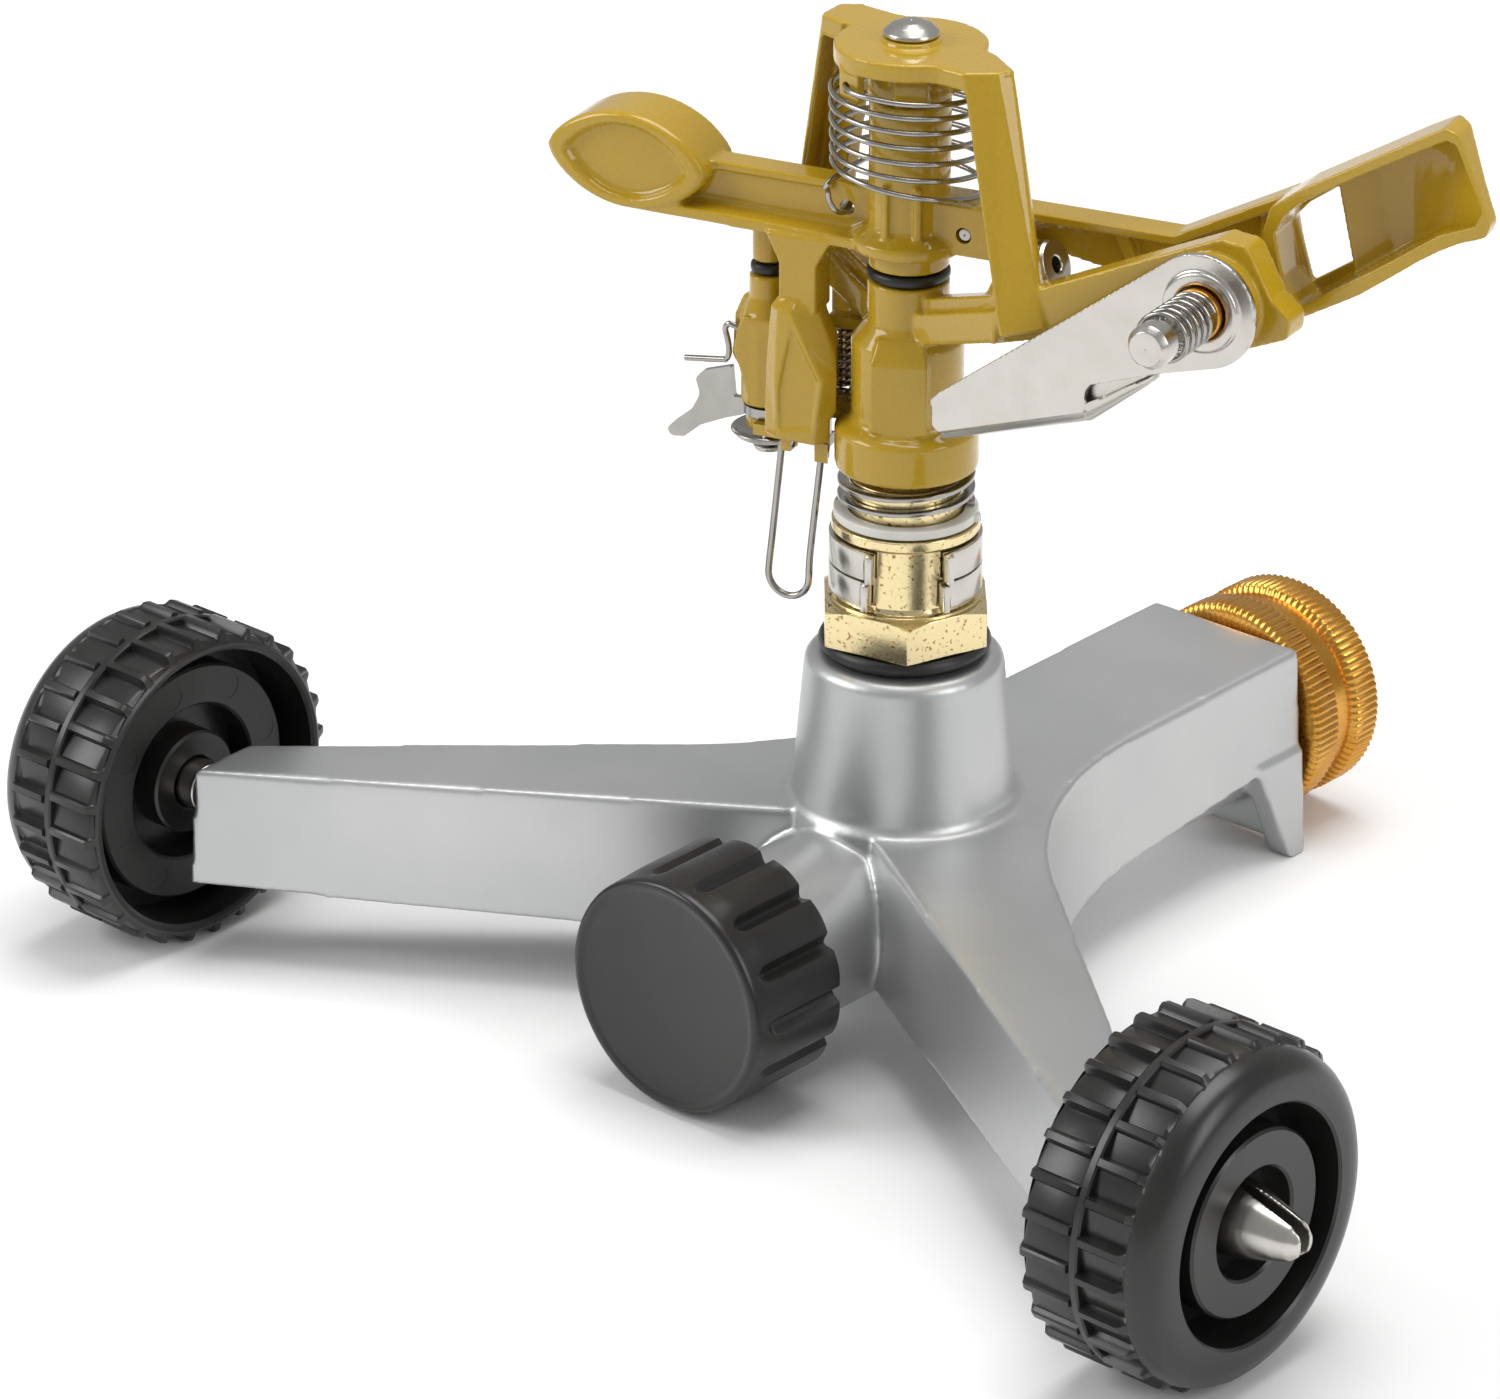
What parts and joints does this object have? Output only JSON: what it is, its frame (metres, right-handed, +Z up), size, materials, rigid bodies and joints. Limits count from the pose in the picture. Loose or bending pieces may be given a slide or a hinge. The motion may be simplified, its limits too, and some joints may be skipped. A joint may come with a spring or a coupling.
{
  "type": "impact sprinkler",
  "caption": "Impact lawn sprinkler: painted metal head with a spring-returned hammer arm and deflector, on a grey cast base with wheels, feet, end cap and hose coupling.",
  "frame": {"origin": "middle of the overall footprint at floor level; the riser's axis stands 7.55 mm from it towards -Y", "axes": "+Z up, +Y out of the hose coupling, +X towards the right wheel"},
  "size_m": [0.2538, 0.1912, 0.1647],
  "materials": {
    "die_cast": "satin bare die casting, fine grain",
    "gold_paint": "glossy ochre gold paint with a fine speckle",
    "brass": "machined, a little pitted",
    "gold_anodised": "satin gold anodised",
    "steel": "bright zinc plated",
    "black_plastic": "moulded, satin",
    "rubber": "smooth black",
    "nylon": "white, slightly glossy"
  },
  "bodies": {
    "base": {"base_casting": "die_cast", "axle_pin_left": "steel", "axle_pin_right": "steel", "bearing_nipple": "brass", "base_o_ring": "rubber", "hose_tail": "brass", "hose_washer": "rubber"},
    "left_wheel": {"wheel_left": "black_plastic"},
    "right_wheel": {"wheel_right": "black_plastic"},
    "gasket": {"cap_gasket": "rubber"},
    "cap": {"end_cap": "black_plastic"},
    "coupling": {"hose_swivel_nut": "gold_anodised"},
    "lower_collar": {"trip_collar_lower": "steel"},
    "upper_collar": {"trip_collar_upper": "steel"},
    "head": {"sprinkler_body": "gold_paint", "stem_tube": "brass", "stem_washer_lower": "nylon", "stem_seal": "rubber", "stem_washer_upper": "nylon", "bearing_washer": "nylon", "bearing_spring": "steel", "nozzle": "steel", "fulcrum_screw": "steel", "neck_washer": "rubber", "deflector_bolt": "steel", "deflector_bush": "gold_anodised", "deflector_spring": "steel", "trip_spring": "steel", "trip_latch_wire": "steel", "post_o_ring": "rubber"},
    "arm": {"hammer_arm": "gold_paint", "arm_bushing": "nylon", "arm_limit_pin": "steel", "arm_spring": "steel"},
    "deflector": {"deflector_flap": "steel"},
    "lever": {"trip_lever": "steel", "trip_yoke": "gold_paint", "trip_pivot_pin": "steel", "trip_dish_washer": "steel"},
    "wire": {"trip_wire": "steel"}
  },
  "joints": [
    {"name": "left_wheel_spin", "type": "hinge", "parent": "base", "child": "left_wheel", "pos_m": [-0.108, -0.06855, 0.027], "axis": [1, 0, 0], "continuous": true},
    {"name": "right_wheel_spin", "type": "hinge", "parent": "base", "child": "right_wheel", "pos_m": [0.108, -0.06855, 0.027], "axis": [1, 0, 0], "continuous": true},
    {"name": "cap_travel", "type": "slide", "parent": "base", "child": "gasket", "axis": [0, -1, 0], "range_m": [0, 0.0056]},
    {"name": "cap_turn", "type": "hinge", "parent": "gasket", "child": "cap", "pos_m": [0, -0.05255, 0.0203], "axis": [0, -1, 0], "range_deg": [0, 900]},
    {"name": "coupling_turn", "type": "hinge", "parent": "base", "child": "coupling", "pos_m": [0, 0.08645, 0.0203], "axis": [0, 1, 0], "continuous": true},
    {"name": "lower_collar_turn", "type": "hinge", "parent": "base", "child": "lower_collar", "pos_m": [0, -0.00755, 0.074], "axis": [0, 0, 1], "continuous": true},
    {"name": "upper_collar_turn", "type": "hinge", "parent": "base", "child": "upper_collar", "pos_m": [0, -0.00755, 0.079], "axis": [0, 0, 1], "continuous": true},
    {"name": "head_turn", "type": "hinge", "parent": "base", "child": "head", "pos_m": [0, -0.00755, 0.09], "axis": [0, 0, 1], "continuous": true},
    {"name": "arm_swing", "type": "hinge", "parent": "head", "child": "arm", "pos_m": [0, -0.00755, 0.14], "axis": [0, 0, 1], "range_deg": [0, 75], "stiffness_Nm_per_rad": 0.02, "springref_deg": -28.65},
    {"name": "deflector_tilt", "type": "hinge", "parent": "head", "child": "deflector", "pos_m": [0.05929, -0.01069, 0.1339], "axis": [-0.1908, 0.9816, 0], "range_deg": [-20, 12]},
    {"name": "lever_swing", "type": "hinge", "parent": "head", "child": "lever", "pos_m": [-0.02472, -0.01204, 0.095], "axis": [0, 0, 1], "range_deg": [-10, 4]},
    {"name": "wire_flip", "type": "hinge", "parent": "lever", "child": "wire", "pos_m": [-0.01417, -0.01619, 0.0942], "axis": [-0.9613, -0.2756, 0], "range_deg": [0, 90]}
  ],
  "couplings": [
    {"joint": "cap_travel", "follows": "cap_turn", "m_per_rad": 0.0003516}
  ]
}
